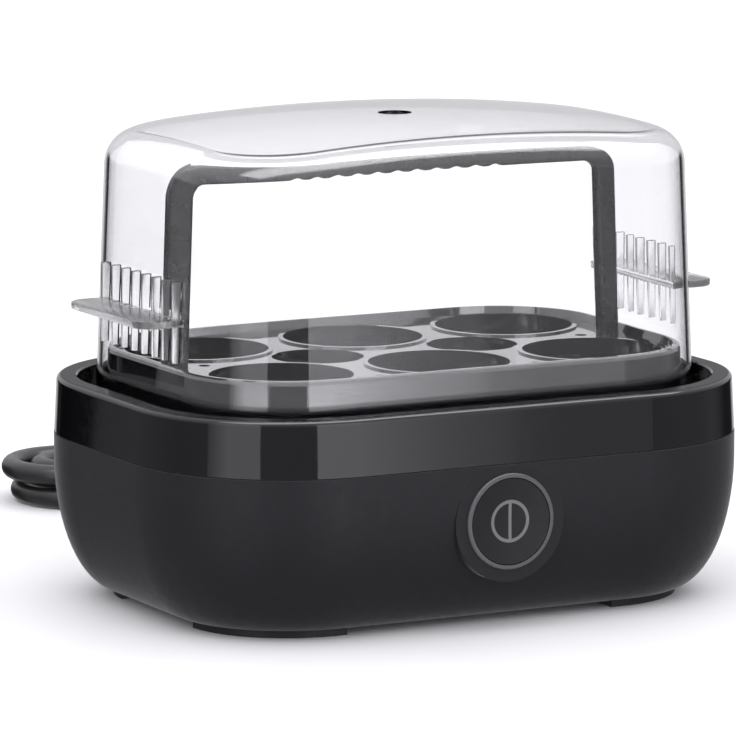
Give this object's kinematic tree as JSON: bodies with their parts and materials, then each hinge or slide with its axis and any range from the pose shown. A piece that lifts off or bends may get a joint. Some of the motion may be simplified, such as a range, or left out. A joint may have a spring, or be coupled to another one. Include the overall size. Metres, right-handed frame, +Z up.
{
  "type": "egg cooker",
  "caption": "Countertop electric egg cooker: rounded rectangular base with push button, egg tray with arched handle, clear lift-off hood with side grips, folded mains lead and plug.",
  "frame": {"origin": "on the table under the middle of the casing, without the mains lead", "axes": "+X right along the long side, +Y back towards the mains lead, +Z up; the button faces -Y"},
  "size_m": [0.184, 0.2658, 0.1373],
  "materials": {
    "casing": "fine matt texture",
    "band": "high gloss",
    "tray": "gloss",
    "hood": "clear, polished",
    "button": "fine matt",
    "mark": "printed and clear coated",
    "ring": "translucent satin",
    "steel": "brushed",
    "aluminium": "pressed",
    "seal": "matt silicone",
    "brass": "plain",
    "ceramic": "unglazed",
    "board": "solder mask",
    "dark_part": "matt",
    "lamp": "clear lens",
    "nylon": "matt",
    "wire": "satin",
    "wire_earth": "satin",
    "cord": "satin",
    "tie": "matt"
  },
  "bodies": {
    "base": {"base_casing": "casing", "trim_band": "band", "base_plate": "casing", "heating_dish": "aluminium", "dish_seal": "seal", "dish_clamp": "steel", "heating_element": "steel", "element_pin_left": "steel", "element_pin_right": "steel", "thermostat": "ceramic", "thermostat_strap": "steel", "thermal_fuse": "ceramic", "control_board": "board", "push_switch": "dark_part", "relay": "dark_part", "capacitor": "dark_part", "buzzer": "dark_part", "indicator_lamp": "lamp", "light_ring": "ring", "button_spring": "steel", "terminal_block": "nylon", "cord_clamp": "nylon", "inner_sheath": "cord", "lead_live": "wire", "lead_neutral": "wire", "lead_element": "wire", "lead_thermostat": "wire", "lead_earth": "wire_earth", "strain_relief": "cord", "cord_lead": "cord", "cord_hank": "cord", "cord_tail": "cord", "cord_tie": "tie", "plug_body": "cord", "plug_pin_left": "brass", "plug_pin_right": "brass", "base_screws": "steel", "dish_screws": "steel", "clamp_screws": "steel"},
    "tray": {"egg_tray": "tray", "tray_handle": "tray"},
    "hood": {"hood": "hood"},
    "button": {"button": "button", "button_mark": "mark", "switch_plunger": "nylon"}
  },
  "joints": [
    {"name": "tray_lift", "type": "slide", "parent": "base", "child": "tray", "axis": [0, 0, 1], "range_m": [0, 0.06]},
    {"name": "hood_lift", "type": "slide", "parent": "tray", "child": "hood", "axis": [0, 0, 1], "range_m": [0, 0.09]},
    {"name": "button_press", "type": "slide", "parent": "base", "child": "button", "axis": [0, 1, 0], "range_m": [0, 0.0016], "stiffness_N_per_m": 600}
  ]
}
